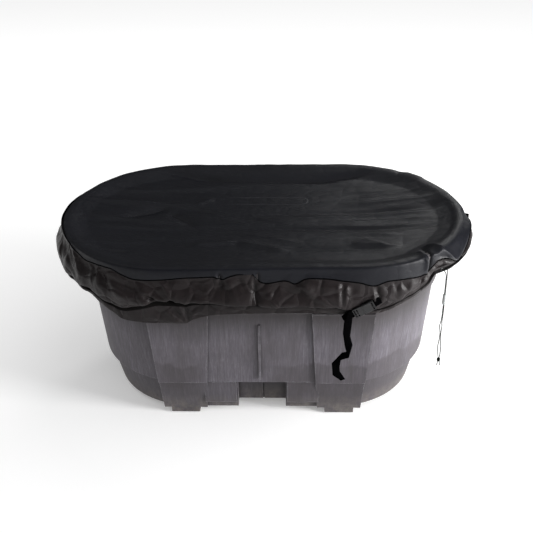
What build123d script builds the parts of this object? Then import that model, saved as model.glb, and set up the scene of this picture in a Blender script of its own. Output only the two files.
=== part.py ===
from build123d import *
import os
from math import atan2, cos, pi, radians, sin, tan

# Livestock water trough: an oval moulded tank with a drawstring fabric cover over its rim.
# Millimetres. Origin on the ground under the middle of the tank, +X along its length, +Z up, front at -Y.

# ---- driving dimensions: the tank ----
RIM_LENGTH = 1346.0
RIM_WIDTH = 787.0
TANK_HEIGHT = 635.0
FOOT_HEIGHT = 25.0
RIM_RADIUS = RIM_WIDTH / 2
HALF_STRAIGHT = (RIM_LENGTH - RIM_WIDTH) / 2

# outer skin, from the underside to the rim: height, half straight, end radius
OUTER_SECTIONS = [
    (FOOT_HEIGHT, 245.0, 297.0),
    (146.0, 257.0, 310.0),
    (150.0, 260.0, 320.5),
    (432.0, 272.0, 326.0),
    (438.0, 273.5, 334.0),
    (588.0, HALF_STRAIGHT, 342.0),
    (600.0, HALF_STRAIGHT, RIM_RADIUS),
    (TANK_HEIGHT - 6, HALF_STRAIGHT, RIM_RADIUS),
    (TANK_HEIGHT, HALF_STRAIGHT, RIM_RADIUS - 5),
]
# inner skin, from the floor to the mouth
FLOOR_Z = 38.0
MOUTH_RADIUS = 376.0
INNER_SECTIONS = [
    (FLOOR_Z, 241.0, 285.0),
    (158.0, 254.0, 299.5),
    (163.0, 258.0, 311.0),
    (440.0, 271.0, 317.0),
    (582.0, 277.0, 324.0),
    (TANK_HEIGHT + 1, HALF_STRAIGHT, MOUTH_RADIUS),
]

# pilasters on the long sides: x of the inner and outer edge at the foot and at the top
PILASTER_FOOT = (190.0, 340.0)
PILASTER_TOP = (165.0, 366.0)
PILASTER_TOP_Z = 434.0
PILASTER_FRONT = {FOOT_HEIGHT: 305.0, 148.0: 319.0, 152.0: 329.0, PILASTER_TOP_Z: 334.5}
PILASTER_DEPTH = 60.0

# cut-out in the foot of each long side, and the blocks beside it
CUTOUT_HALF_WIDTH = 82.0
CUTOUT_TOP = 148.0
CUTOUT_BACK_Y = 255.0
CUTOUT_WALL = 11.0
BLOCK_INNER_X = 86.0
BLOCK_BOTTOM = 44.0
BLOCK_FRONT_Y = 314.0

# feet, one under each pilaster
FOOT_INNER_X = 217.0
FOOT_WIDTH = 99.0
FOOT_DEPTH = 115.0
FOOT_FRONT_Y = 305.0

# drain at the left end
DRAIN_Z = 78.0
DRAIN_RADIUS = 21.0
DRAIN_BOSS_RADIUS = 39.0
DRAIN_BOSS_X = 563.0
DRAIN_GASKET_THICKNESS = 3.0
DRAIN_GASKET_RADIUS = 31.0
DRAIN_FLANGE_RADIUS = 32.0
DRAIN_FLANGE_THICKNESS = 4.5
DRAIN_SHANK_LENGTH = 24.0
DRAIN_THREAD_DEPTH = 1.6
DRAIN_THREAD_CLEARANCE = 0.1
DRAIN_THREAD_PITCH = 5.0

# ---- driving dimensions: the cover ----
CLOTH = 2.0
RIM_CLEARANCE = 2.5
SKIRT_RADIUS = RIM_RADIUS + RIM_CLEARANCE
SEAM_Z = 600.0
BASIN_DEPTH = 35.0
BASIN_RADIUS = 319.0
CASING_HEIGHT = 22.0
CASING_INNER_RADIUS = RIM_RADIUS + 1.1
CASING_THICKNESS = 8.0
CORD_DIAMETER = 2.6
# height of the hem's lower edge along the length: low at front left, pulled up at the right end
HEM_LINE = [(-720, 484), (-430, 446), (-240, 446), (-110, 480), (340, 480), (430, 498), (520, 536),
            (556, 560), (720, 560)]
WEBBING_WIDTH = 25.0
WEBBING = 1.5

# where the drawcord leaves the casing, as angles round the right end's centre
EXIT_ANGLES = (-45.2, -42.8)
EXIT_Z = 571.0
STRAIGHT_TOP = Vector(584.1, -281.0, 553.0)
STRAIGHT_FOOT = Vector(588.4, -280.0, 400.0)
STRAND_SPACING = 2.8
LOCK_Z = 456.0

# buckle: centre above the hem near the right-hand pilaster, tilted up to the right
BUCKLE_X = 318.0
BUCKLE_Z = 503.0
BUCKLE_TILT = 29.0
BUCKLE_STANDOFF = 6.5
BUCKLE_WIDTH = 34.0
BUCKLE_THICKNESS = 10.0
SOCKET_LENGTH = 36.0
PLUG_WIDTH = 32.0
ARM_PIVOT_X = -0.9
ARM_PIVOT_Y = 7.8
ARM_ROOT_RADIUS = 1.6

# cord lock, eyelets and knot
LOCK_RADIUS = 6.0
LOCK_HEIGHT = 22.0
LOCK_WALL = 1.5
LOCK_CAP_RADIUS = 5.7
LOCK_CAP_HEIGHT = 10.0
EYELET_HOLE_RADIUS = 2.2
EYELET_FLANGE_RADIUS = 5.0
KNOT_RADIUS = 4.0
KNOT_HEIGHT = 11.0
KNOT_TAIL = 24.0

os.makedirs("parts", exist_ok=True)


def save(name, shape):
    """Writes one sub-part."""
    shape.label = name
    export_step(shape, f"parts/{name}.step")


# ---- shared shapes ----
def stadium(height, half_straight, radius):
    """A flat oval face with full-round ends."""
    return Plane.XY.offset(height) * SlotCenterToCenter(2 * half_straight, 2 * radius)


def oval_loft(sections):
    """A solid through a stack of ovals."""
    return loft([stadium(*section).face() for section in sections], ruled=True)


def oval_ring(profile):
    """A profile of (radius, height) points carried all round the rim's oval."""
    front = Plane((-HALF_STRAIGHT, 0, 0), x_dir=(0, -1, 0), z_dir=(-1, 0, 0))
    end = Plane((HALF_STRAIGHT, 0, 0), x_dir=(0, -1, 0), z_dir=(-1, 0, 0))
    outline = make_face(Polyline(*profile, close=True))
    straight = extrude(front * outline, amount=2 * HALF_STRAIGHT, dir=(1, 0, 0))
    right = revolve(end * outline, axis=Axis((HALF_STRAIGHT, 0, 0), (0, 0, 1)), revolution_arc=180)
    return straight + mirror(straight, about=Plane.XZ) + right + mirror(right, about=Plane.YZ)


def wall_band(inner, outer, low, high):
    """The part of a round oval wall that lies between two heights above the hem line."""
    wall = oval_ring([(inner, 400), (outer, 400), (outer, 620), (inner, 620)])
    lower = [(x, z + low) for x, z in HEM_LINE]
    upper = [(x, z + high) if high is not None else (x, SEAM_Z) for x, z in HEM_LINE]
    outline = make_face(Plane.XZ * Polyline(*lower, *reversed(upper), close=True))
    return wall & extrude(outline, amount=500, both=True)


def end_point(angle, radius, height):
    """A point round the right end of the oval."""
    turn = radians(angle)
    return Vector(HALF_STRAIGHT + radius * cos(turn), radius * sin(turn), height)


def end_plane(angle, radius, height):
    """A plane that faces outwards from the right end: local x along the rim, local y up."""
    turn = radians(angle)
    along = (-sin(turn), cos(turn), 0)
    outwards = (cos(turn), sin(turn), 0)
    return Plane(end_point(angle, radius, height), x_dir=along, z_dir=outwards)


def both_sides(shape):
    """The shape with its mirror images left and right, front and back."""
    half = shape + mirror(shape, about=Plane.YZ)
    return half + mirror(half, about=Plane.XZ)


# ---- tank ----
def pilaster():
    """Tapered rib with its foot, standing out from the front wall right of centre."""
    sections = []
    for height, front in PILASTER_FRONT.items():
        share = (height - FOOT_HEIGHT) / (PILASTER_TOP_Z - FOOT_HEIGHT)
        left = PILASTER_FOOT[0] + share * (PILASTER_TOP[0] - PILASTER_FOOT[0])
        right = PILASTER_FOOT[1] + share * (PILASTER_TOP[1] - PILASTER_FOOT[1])
        place = Plane.XY.offset(height) * Pos((left + right) / 2, -front + PILASTER_DEPTH / 2)
        sections.append((place * Rectangle(right - left, PILASTER_DEPTH)).face())
    foot = Pos(FOOT_INNER_X + FOOT_WIDTH / 2, -FOOT_FRONT_Y + FOOT_DEPTH / 2, FOOT_HEIGHT / 2 + 2)
    pad = Box(FOOT_WIDTH, FOOT_DEPTH, FOOT_HEIGHT + 4)
    pad = chamfer(pad.faces().sort_by(Axis.Z)[0].edges(), 5)
    return loft(sections, ruled=True) + foot * pad


def side_block():
    """Block between the cut-out and the pilaster, right of centre at the front."""
    width = PILASTER_FOOT[0] + 4 - BLOCK_INNER_X
    height = CUTOUT_TOP - 4 - BLOCK_BOTTOM
    block = Box(width, 40, height)
    block = chamfer(block.edges().filter_by(Axis.X).sort_by(Axis.Z)[:2].sort_by(Axis.Y)[0], 14)
    return Pos(BLOCK_INNER_X + width / 2, -BLOCK_FRONT_Y + 20, BLOCK_BOTTOM + height / 2) * block


def cutout(grow):
    """The hollow in the foot of the front wall; grow makes the larger inner bump round it."""
    height = CUTOUT_TOP + grow + 60
    depth = 150.0
    hollow = Box(2 * (CUTOUT_HALF_WIDTH + grow), depth, height)
    hollow = chamfer(hollow.faces().sort_by(Axis.Z)[-1].edges().sort_by(Axis.Y)[-1], 18)
    return Pos(0, -CUTOUT_BACK_Y + grow - depth / 2, CUTOUT_TOP + grow - height / 2) * hollow


def tank_shell():
    body = oval_loft(OUTER_SECTIONS) + both_sides(pilaster() + side_block())
    rib = Pos(-4, -324, 278) * Box(7, 12, 220)
    body += rib + mirror(rib, about=Plane.XZ)
    boss = Rot(0, 90, 0) * Cylinder(DRAIN_BOSS_RADIUS, DRAIN_BOSS_X - 500)
    body += Pos(-(DRAIN_BOSS_X + 500) / 2, 0, DRAIN_Z) * boss
    outer_cut = cutout(0)
    body -= outer_cut + mirror(outer_cut, about=Plane.XZ)
    bump = cutout(CUTOUT_WALL)
    cavity = oval_loft(INNER_SECTIONS) - (bump + mirror(bump, about=Plane.XZ))
    body -= cavity
    body -= Pos(-540, 0, DRAIN_Z) * Rot(0, 90, 0) * Cylinder(DRAIN_RADIUS, 80)
    groove = Pos(5, -CUTOUT_BACK_Y, 70) * Box(5, 8, 120)
    body -= groove + mirror(groove, about=Plane.XZ)
    under_rim = oval_ring([(351, 598), (385, 598), (385, 625), (378, 625)])
    return body - under_rim


# ---- drain ----
def drain_gasket():
    middle = DRAIN_BOSS_X + 0.2 + DRAIN_GASKET_THICKNESS / 2
    ring = Cylinder(DRAIN_GASKET_RADIUS, DRAIN_GASKET_THICKNESS)
    ring -= Cylinder(DRAIN_RADIUS + 0.6, DRAIN_GASKET_THICKNESS)
    return Pos(-middle, 0, DRAIN_Z) * Rot(0, 90, 0) * ring


def drain_plug():
    """Threaded shank, flange and wing grip, pointing out of the left end."""
    face = DRAIN_GASKET_THICKNESS + 0.4
    crest_radius = DRAIN_RADIUS - DRAIN_THREAD_CLEARANCE
    root_radius = crest_radius - DRAIN_THREAD_DEPTH
    shank = Cylinder(root_radius, DRAIN_SHANK_LENGTH, align=(Align.CENTER, Align.CENTER, Align.MAX))
    for turn in range(4):
        ridge = Cylinder(crest_radius, 2.2, align=(Align.CENTER, Align.CENTER, Align.MAX))
        shank += Pos(0, 0, -1.5 - turn * DRAIN_THREAD_PITCH) * ridge
    shank -= Pos(0, 0, -DRAIN_SHANK_LENGTH) * Cylinder(13, 30)
    neck = Cylinder(root_radius, face, align=(Align.CENTER, Align.CENTER, Align.MIN))
    flange = Cylinder(DRAIN_FLANGE_RADIUS, DRAIN_FLANGE_THICKNESS)
    flange = Pos(0, 0, face + DRAIN_FLANGE_THICKNESS / 2) * flange
    wing = Pos(0, 0, face + DRAIN_FLANGE_THICKNESS + 8) * Box(50, 9, 16)
    wing = fillet(wing.edges().filter_by(Axis.Y).sort_by(Axis.Z)[-2:], 7)
    plug = shank + neck + flange + wing
    return Pos(-DRAIN_BOSS_X, 0, DRAIN_Z) * Rot(0, -90, 0) * plug


# ---- cover ----
def cover_top_panel():
    """Fabric disc that rolls over the rim and sags into the mouth inside it."""
    top = TANK_HEIGHT + 1 + CLOTH
    skirt = SKIRT_RADIUS + CLOTH
    floor = TANK_HEIGHT + 1 - BASIN_DEPTH
    outside = [(0, floor + CLOTH), (BASIN_RADIUS - 1, floor + CLOTH), (371, top), (skirt - 7, top),
               (skirt, top - 7), (skirt, SEAM_Z)]
    inside = [(SKIRT_RADIUS, SEAM_Z), (SKIRT_RADIUS, top - 8), (skirt - 8, top - CLOTH),
              (372, top - CLOTH), (BASIN_RADIUS, floor), (0, floor)]
    return oval_ring(outside + inside)


def cover_skirt():
    return wall_band(SKIRT_RADIUS, SKIRT_RADIUS + CLOTH, CASING_HEIGHT, None)


def seam_binding():
    """Folded tape that closes the seam between the top panel and the skirt."""
    inner = SKIRT_RADIUS + CLOTH + 0.05
    outer = inner + 1.6
    return oval_ring([(inner, SEAM_Z - 4), (outer, SEAM_Z - 4), (outer, SEAM_Z + 4), (inner, SEAM_Z + 4)])


def hem_casing():
    """Hollow hem that holds the drawcord, with two eyelet holes at front right."""
    inner = CASING_INNER_RADIUS
    outer = inner + CASING_THICKNESS
    channel = wall_band(inner + CLOTH, outer - CLOTH, CLOTH, CASING_HEIGHT - CLOTH)
    casing = wall_band(inner, outer, 0, CASING_HEIGHT) - channel
    for angle in EXIT_ANGLES:
        casing -= end_plane(angle, outer - 1, EXIT_Z) * Cylinder(3.1, 6)
    return casing


def cord_eyelets():
    """Two rolled metal eyelets, each a flange with a barrel through the casing's outer wall."""
    outer = CASING_INNER_RADIUS + CASING_THICKNESS
    eyelets = []
    for angle in EXIT_ANGLES:
        barrel = Cylinder(3.0, 2.4, align=(Align.CENTER, Align.CENTER, Align.MAX))
        flange = Cylinder(EYELET_FLANGE_RADIUS, 1.0, align=(Align.CENTER, Align.CENTER, Align.MIN))
        ring = barrel + flange - Cylinder(EYELET_HOLE_RADIUS, 8)
        eyelets.append(end_plane(angle, outer + 0.1, EXIT_Z) * ring)
    return Compound(children=eyelets)


def drawcord_ring():
    """The cord's run round the rim, inside the casing."""
    middle = CASING_INNER_RADIUS + CASING_THICKNESS / 2
    half = CORD_DIAMETER / 2
    rise = CASING_HEIGHT / 2
    return wall_band(middle - half, middle + half, rise - half, rise + half)


def end_pull_loop():
    """Short webbing handle at the right end: a half ring standing out from the skirt."""
    outer = Cylinder(12, WEBBING_WIDTH) - Cylinder(12 - WEBBING, WEBBING_WIDTH)
    outer -= Pos(-15, 0, 0) * Box(30, 40, 40)
    place = end_plane(4.0, CASING_INNER_RADIUS + CASING_THICKNESS + 0.4, SEAM_Z - 9)
    return place * Rot(0, -90, 0) * Rot(90, 0, 0) * outer


# ---- drawcord strands, cord lock and knot ----
def strand_exit(index):
    """First point of a strand, on the cord inside the casing, and the way out through its eyelet."""
    angle = EXIT_ANGLES[index]
    start = CASING_INNER_RADIUS + CASING_THICKNESS / 2 + CORD_DIAMETER / 2
    return end_point(angle, start, EXIT_Z), end_point(angle, start + 8, EXIT_Z)


def strand_routes():
    """Points of the two hanging strands, from the eyelets down to the knot."""
    left_start, left_out = strand_exit(0)
    right_start, right_out = strand_exit(1)
    left = [left_start, left_out, (572.8, -291.2, 566.5), (578.3, -287.3, 556.5), (581.64, -280.92, 541.0),
            (585.6, -280.0, 400.0), (584.4, -279.4, 370.0), (581.0, -279.0, 351.0), (586.4, -278.6, 332.0),
            (587.2, -278.2, 300.0), (583.6, -277.8, 262.0), (592.1, -277.4, 221.0)]
    right = [right_start, right_out, (583.2, -281.2, 565.5), STRAIGHT_TOP,
             STRAIGHT_FOOT, (587.2, -279.4, 370.0), (590.2, -279.0, 352.0), (589.2, -278.6, 333.0),
             (590.0, -278.2, 300.0), (597.4, -277.8, 258.0), (594.9, -277.4, 221.0)]
    return [Vector(point) for point in left], [Vector(point) for point in right]


def cord_tube(name, points):
    """Round tube on straight runs joined by arcs as large as the runs allow; prints its radii."""
    radii = []
    for before, corner, after in zip(points, points[1:], points[2:]):
        first = corner - before
        second = after - corner
        turn = first.get_angle(second)
        radii.append(0.45 * min(first.length, second.length) / tan(radians(turn / 2)))
    path = FilletPolyline(*points, radius=radii)
    start = Plane(points[0], z_dir=points[1] - points[0])
    tube = sweep(start * Circle(CORD_DIAMETER / 2), path=path)
    share = tube.volume / (pi * (CORD_DIAMETER / 2) ** 2) / path.length
    print(name, "length", round(path.length, 1), "volume share", round(share, 4))
    print(name, "radii", [round(radius, 1) for radius in radii])
    return tube


def lock_plane():
    """Middle of the two strands at the cord lock, with local z up along them."""
    up = (STRAIGHT_TOP - STRAIGHT_FOOT).normalized()
    point = STRAIGHT_FOOT + up * ((LOCK_Z - STRAIGHT_FOOT.Z) / up.Z)
    return Plane(point - Vector(STRAND_SPACING / 2, 0, 0), x_dir=(1, 0, 0), z_dir=up)


def cord_slot(height):
    return extrude(SlotOverall(6.3, 3.4), amount=height, both=True)


def cord_lock_body():
    """Barrel of the cord lock, open at the top for its plunger."""
    barrel = Cylinder(LOCK_RADIUS, LOCK_HEIGHT, align=(Align.CENTER, Align.CENTER, Align.MIN))
    barrel = fillet(barrel.edges().filter_by(GeomType.CIRCLE).sort_by(Axis.Z)[0], 2.0)
    bore = Cylinder(LOCK_RADIUS - LOCK_WALL, 30, align=(Align.CENTER, Align.CENTER, Align.MIN))
    barrel = Pos(0, 0, -16) * barrel - Pos(0, 0, -11) * bore
    return lock_plane() * (barrel - cord_slot(30))


def cord_lock_plunger():
    """Stem that runs in the barrel, under a domed cap that is pressed down."""
    stem = Pos(0, 0, -1) * Cylinder(4.2, 12, align=(Align.CENTER, Align.CENTER, Align.MIN))
    cap = Cylinder(LOCK_CAP_RADIUS, LOCK_CAP_HEIGHT, align=(Align.CENTER, Align.CENTER, Align.MIN))
    cap = fillet(cap.edges().filter_by(GeomType.CIRCLE).sort_by(Axis.Z)[-1], 3.0)
    return lock_plane() * (stem + Pos(0, 0, 10) * cap - cord_slot(30))


def cord_lock_spring():
    """Coil spring under the plunger, round the two strands."""
    coil = Helix(pitch=2.2, height=7.7, radius=3.8)
    wire = sweep(Plane(coil @ 0, z_dir=coil % 0) * Circle(0.35), path=coil, is_frenet=True)
    return lock_plane() * Pos(0, 0, -10) * wire


def cord_end_knot(top):
    """Overhand knot that joins the strands' ends, with two short tails."""
    knot = Cylinder(KNOT_RADIUS, KNOT_HEIGHT, align=(Align.CENTER, Align.CENTER, Align.MAX))
    for drop in (2.6, 5.6, 8.6):
        knot += Pos(0, 0, -drop) * Torus(KNOT_RADIUS, 1.5)
    for side in (-1, 1):
        tail = Cylinder(CORD_DIAMETER / 2, KNOT_TAIL, align=(Align.CENTER, Align.CENTER, Align.MAX))
        knot += Pos(side * 2.0, 0, -6) * Rot(0, -side * 7 - 4, 0) * tail
    return Pos(top.X, top.Y, top.Z) * knot


# ---- strap and buckle ----
def buckle_plane():
    """Middle of the buckle: local x towards the socket, local y up across it, local z outwards."""
    reach = CASING_INNER_RADIUS + CASING_THICKNESS + BUCKLE_STANDOFF
    turn = atan2(BUCKLE_X - HALF_STRAIGHT, reach)
    across = Vector(cos(turn), sin(turn), 0)
    outwards = Vector(sin(turn), -cos(turn), 0)
    tilt = radians(BUCKLE_TILT)
    along = across * cos(tilt) + Vector(0, 0, 1) * sin(tilt)
    origin = Vector(HALF_STRAIGHT, 0, BUCKLE_Z) + outwards * reach
    return Plane(origin, x_dir=along, z_dir=outwards)


def slab(low_x, high_x, width, low_z, high_z, middle=0.0):
    """A block in the buckle's own frame, from x to x and z to z, centred across it."""
    place = Pos((low_x + high_x) / 2, middle, (low_z + high_z) / 2)
    return place * Box(high_x - low_x, width, high_z - low_z)


def buckle_socket():
    """Female half: a flat sleeve with side windows and a webbing bar."""
    half = BUCKLE_THICKNESS / 2
    sleeve = slab(-2, SOCKET_LENGTH - 2, BUCKLE_WIDTH, -half, half)
    sleeve = fillet(sleeve.edges().filter_by(Axis.X), 3.0)
    sleeve -= slab(-3, 23, 27.4, -3.2, 3.2)
    sleeve -= slab(9, 21, BUCKLE_WIDTH + 2, -3.2, 3.2)
    return buckle_plane() * (sleeve - slab(26, 30.5, 27, -half - 1, half + 1))


def buckle_plug():
    """Male half: webbing frame and centre prong."""
    frame = slab(-34, -2.6, PLUG_WIDTH, -3.3, 3.3)
    frame = fillet(frame.edges().filter_by(Axis.Z), 3.0)
    frame -= slab(-31.5, -27.5, 26, -5, 5)
    frame -= slab(-23.5, -19.0, 26, -5, 5)
    prong = slab(-4, 21.5, 5.6, -2.6, 2.6)
    return buckle_plane() * (frame + prong)


def buckle_arm(side):
    """Springy latch arm with its press pad, above (+1) or below (-1) the prong, and a round root."""
    outline = [(ARM_PIVOT_X, 6.2), (ARM_PIVOT_X, 9.4), (8, 10.2), (11, 13.2), (19, 13.2), (22, 9.6),
               (22, 8.4), (8, 7.2)]
    face = make_face(Polyline(*[(x, side * y) for x, y in outline], close=True))
    face += Pos(ARM_PIVOT_X, side * ARM_PIVOT_Y) * Circle(ARM_ROOT_RADIUS)
    return buckle_plane() * extrude(face, amount=2.6, both=True)


def strap_anchor_left():
    """Webbing sewn to the hem, running behind the male frame to its bar."""
    strip = slab(-72, -26.5, WEBBING_WIDTH, -5.3, -5.3 + WEBBING)
    return buckle_plane() * strip


def strap_anchor_right():
    """Webbing sewn to the hem, looped through the socket's bar."""
    strip = slab(27.5, 58, WEBBING_WIDTH, -6.6, -6.6 + WEBBING)
    return buckle_plane() * (strip + slab(27.5, 29.0, WEBBING_WIDTH, -6.6, 4.0))


def strap_tail():
    """Loose end of the strap: it comes forward through the male frame and hangs, folded over once."""
    outline = [(262, 494), (289, 505), (288, 470), (286, 421), (289, 363), (279, 325), (276, 314),
               (266, 314), (262, 318), (254, 284), (256, 259), (273, 234), (261, 224), (235, 244),
               (231, 284), (253, 321), (267, 327), (264, 363), (259, 421)]
    place = Plane((0, buckle_plane().origin.Y - 7.4, 0), x_dir=(1, 0, 0), z_dir=(0, -1, 0))
    plate = extrude(place * make_face(Polyline(*outline, close=True)), amount=WEBBING)
    link = buckle_plane() * slab(-30.3, -28.8, WEBBING_WIDTH, -3.6, 4.5)
    return plate + link


tank = tank_shell()
save("tank_shell", tank)
save("drain_gasket", drain_gasket())
save("drain_plug", drain_plug())
save("cover_top_panel", cover_top_panel())
save("cover_skirt", cover_skirt())
save("seam_binding", seam_binding())
save("hem_casing", hem_casing())
save("cord_eyelets", cord_eyelets())
save("drawcord_ring", drawcord_ring())
save("end_pull_loop", end_pull_loop())

left_route, right_route = strand_routes()
save("drawcord_strand_left", cord_tube("left strand", left_route))
save("drawcord_strand_right", cord_tube("right strand", right_route))
save("cord_end_knot", cord_end_knot((left_route[-1] + right_route[-1]) * 0.5))
save("cord_lock_body", cord_lock_body())
save("cord_lock_plunger", cord_lock_plunger())
save("cord_lock_spring", cord_lock_spring())

save("buckle_socket", buckle_socket())
save("buckle_plug", buckle_plug())
save("buckle_arm_upper", buckle_arm(1))
save("buckle_arm_lower", buckle_arm(-1))
save("strap_anchor_left", strap_anchor_left())
save("strap_anchor_right", strap_anchor_right())
save("strap_tail", strap_tail())

buckle = buckle_plane()
print("buckle origin", buckle.origin, "along", buckle.x_dir, "across", buckle.y_dir, "out", buckle.z_dir)
for side in (1, -1):
    print("arm pivot", buckle.from_local_coords(Vector(ARM_PIVOT_X, side * ARM_PIVOT_Y, 0)))
print("lock origin", lock_plane().origin, "up", lock_plane().z_dir)
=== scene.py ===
import math

import bmesh
import bpy
import numpy as np
from mathutils import Matrix, Vector, noise


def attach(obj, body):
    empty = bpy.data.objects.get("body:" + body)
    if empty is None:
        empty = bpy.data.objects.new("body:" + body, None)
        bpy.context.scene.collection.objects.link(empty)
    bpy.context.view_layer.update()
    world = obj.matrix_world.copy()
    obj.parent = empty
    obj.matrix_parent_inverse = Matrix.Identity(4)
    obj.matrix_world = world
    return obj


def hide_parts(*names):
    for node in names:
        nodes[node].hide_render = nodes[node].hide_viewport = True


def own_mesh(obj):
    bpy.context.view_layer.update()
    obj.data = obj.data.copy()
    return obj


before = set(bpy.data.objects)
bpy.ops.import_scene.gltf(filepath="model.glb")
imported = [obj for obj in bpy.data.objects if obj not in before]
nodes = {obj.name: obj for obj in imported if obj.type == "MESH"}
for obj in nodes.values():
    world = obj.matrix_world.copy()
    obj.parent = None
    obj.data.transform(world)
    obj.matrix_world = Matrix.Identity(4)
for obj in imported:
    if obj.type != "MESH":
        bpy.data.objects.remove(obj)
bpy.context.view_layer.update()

# ---- sizes, in metres, as in the CAD model ----
HALF_STRAIGHT = 0.2795
RIM_RADIUS = 0.3935
CORD_DIAMETER = 0.0026
WEBBING_WIDTH = 0.025
WEBBING_THICKNESS = 0.0015


# ---------------------------------------------------------------- helpers
def smoothstep(low, high, value):
    """0 below low, 1 above high, smooth between."""
    share = np.clip((value - low) / (high - low), 0.0, 1.0)
    return share * share * (3 - 2 * share)


def bump(value, middle, width):
    """A bell of height 1 about middle."""
    return np.exp(-(((value - middle) / width) ** 2))


def through(points, value):
    """A smooth curve through (place, height) points, flat beyond the last ones."""
    places = np.array([p[0] for p in points], float)
    heights = np.array([p[1] for p in points], float)
    steps = np.diff(heights) / np.diff(places)
    slopes = np.concatenate([[0.0], (steps[1:] + steps[:-1]) / 2, [0.0]])
    slopes[1:-1][steps[1:] * steps[:-1] <= 0] = 0.0
    value = np.clip(value, places[0], places[-1])
    k = np.clip(np.searchsorted(places, value) - 1, 0, len(places) - 2)
    run = places[k + 1] - places[k]
    t = (value - places[k]) / run
    return (
        (2 * t**3 - 3 * t**2 + 1) * heights[k]
        + (t**3 - 2 * t**2 + t) * run * slopes[k]
        + (3 * t**2 - 2 * t**3) * heights[k + 1]
        + (t**3 - t**2) * run * slopes[k + 1]
    )


def rough(points, scale, seed):
    """Smooth noise from -1 to 1 at each point; scale is the size of its lumps along x, y and z."""
    scale = np.array(scale, float)
    return np.array([noise.noise(Vector(p / scale + seed)) for p in np.asarray(points, float)])


def new_mesh(name, points, faces):
    """A smooth-shaded mesh object in the scene."""
    mesh = bpy.data.meshes.new(name)
    mesh.from_pydata([tuple(p) for p in points], [], [tuple(int(i) for i in f) for f in faces])
    mesh.validate()
    mesh.update()
    mesh.polygons.foreach_set("use_smooth", [True] * len(mesh.polygons))
    obj = bpy.data.objects.new(name, mesh)
    bpy.context.scene.collection.objects.link(obj)
    return obj


# ---------------------------------------------------------------- the rim's oval
PERIMETER = 4 * HALF_STRAIGHT + 2 * math.pi * RIM_RADIUS


def rim_frame(along):
    """For places along the rim, from the middle of the front towards +X: centres and outward directions."""
    along = np.asarray(along, float)
    side = np.sign(along) + (along == 0)
    way = np.abs(along)
    turn = np.clip((way - HALF_STRAIGHT) / RIM_RADIUS, 0, math.pi)
    back = np.clip(way - HALF_STRAIGHT - math.pi * RIM_RADIUS, 0, None)
    centre = np.minimum(way, HALF_STRAIGHT) - back
    zero = np.zeros_like(way)
    centres = np.stack([side * centre, zero, zero], axis=-1)
    outwards = np.stack([side * np.sin(turn), -np.cos(turn), zero], axis=-1)
    return centres, outwards


def rim_point(along, offset, height):
    """Points at an offset outside the rim, at a height."""
    centres, outwards = rim_frame(along)
    points = centres + outwards * (RIM_RADIUS + np.asarray(offset, float))[..., None]
    points[..., 2] = height
    return points


# ---------------------------------------------------------------- materials
class Nodes:
    """Short names for building a node material."""

    def __init__(self, name):
        self.material = bpy.data.materials.new(name)
        self.material.use_nodes = True
        self.tree = self.material.node_tree
        self.shader = self.tree.nodes["Principled BSDF"]
        self.coords = self.add("ShaderNodeTexCoord").outputs["Object"]

    def add(self, kind, **settings):
        node = self.tree.nodes.new(kind)
        for key, value in settings.items():
            setattr(node, key, value)
        return node

    def link(self, source, target):
        self.tree.links.new(source, target)

    def put(self, value, socket):
        if isinstance(value, bpy.types.NodeSocket):
            self.link(value, socket)
        else:
            socket.default_value = value

    def scaled(self, x, y, z):
        node = self.add("ShaderNodeMapping")
        node.inputs["Scale"].default_value = (x, y, z)
        self.link(self.coords, node.inputs["Vector"])
        return node.outputs["Vector"]

    def noise(self, vector, scale, detail=3.0, roughness=0.55, distortion=0.0):
        node = self.add("ShaderNodeTexNoise")
        self.link(vector, node.inputs["Vector"])
        node.inputs["Scale"].default_value = scale
        node.inputs["Detail"].default_value = detail
        node.inputs["Roughness"].default_value = roughness
        node.inputs["Distortion"].default_value = distortion
        return node.outputs["Fac"]

    def wave(self, vector, scale, direction, distortion=0.0, detail=0.0):
        node = self.add("ShaderNodeTexWave", bands_direction=direction)
        self.link(vector, node.inputs["Vector"])
        node.inputs["Scale"].default_value = scale
        node.inputs["Distortion"].default_value = distortion
        node.inputs["Detail"].default_value = detail
        return node.outputs["Fac"]

    def ramp(self, value, stops):
        node = self.add("ShaderNodeValToRGB")
        self.link(value, node.inputs["Fac"])
        elements = node.color_ramp.elements
        while len(elements) < len(stops):
            elements.new(0.5)
        for element, (place, colour) in zip(elements, stops):
            element.position = place
            element.color = (*colour, 1) if len(colour) == 3 else (colour[0],) * 3 + (1,)
        return node.outputs["Color"]

    def math(self, kind, a, b=0.5, clamp=False):
        node = self.add("ShaderNodeMath", operation=kind, use_clamp=clamp)
        self.put(a, node.inputs[0])
        self.put(b, node.inputs[1])
        return node.outputs[0]

    def mix(self, share, a, b):
        node = self.add("ShaderNodeMix", data_type="RGBA", blend_type="MIX")
        self.put(share, node.inputs["Factor"])
        self.put(a if isinstance(a, bpy.types.NodeSocket) else (*a, 1), node.inputs[6])
        self.put(b if isinstance(b, bpy.types.NodeSocket) else (*b, 1), node.inputs[7])
        return node.outputs[2]

    def separate(self, vector):
        node = self.add("ShaderNodeSeparateXYZ")
        self.link(vector, node.inputs[0])
        return node.outputs

    def bump(self, height, strength, distance, normal=None):
        node = self.add("ShaderNodeBump")
        self.link(height, node.inputs["Height"])
        node.inputs["Strength"].default_value = strength
        node.inputs["Distance"].default_value = distance
        if normal is not None:
            self.link(normal, node.inputs["Normal"])
        return node.outputs["Normal"]

    def set(self, **values):
        for key, value in values.items():
            self.put(value, self.shader.inputs[key.replace("_", " ")])
        return self.material


# the stitched loop on the top: where its straight sides end, its middle line and its half width
STITCHED_TURN_X = 0.134
STITCHED_Y = 0.146
STITCHED_HALF_WIDTH = 0.025
STITCHED_TIP_X = 0.165


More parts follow.
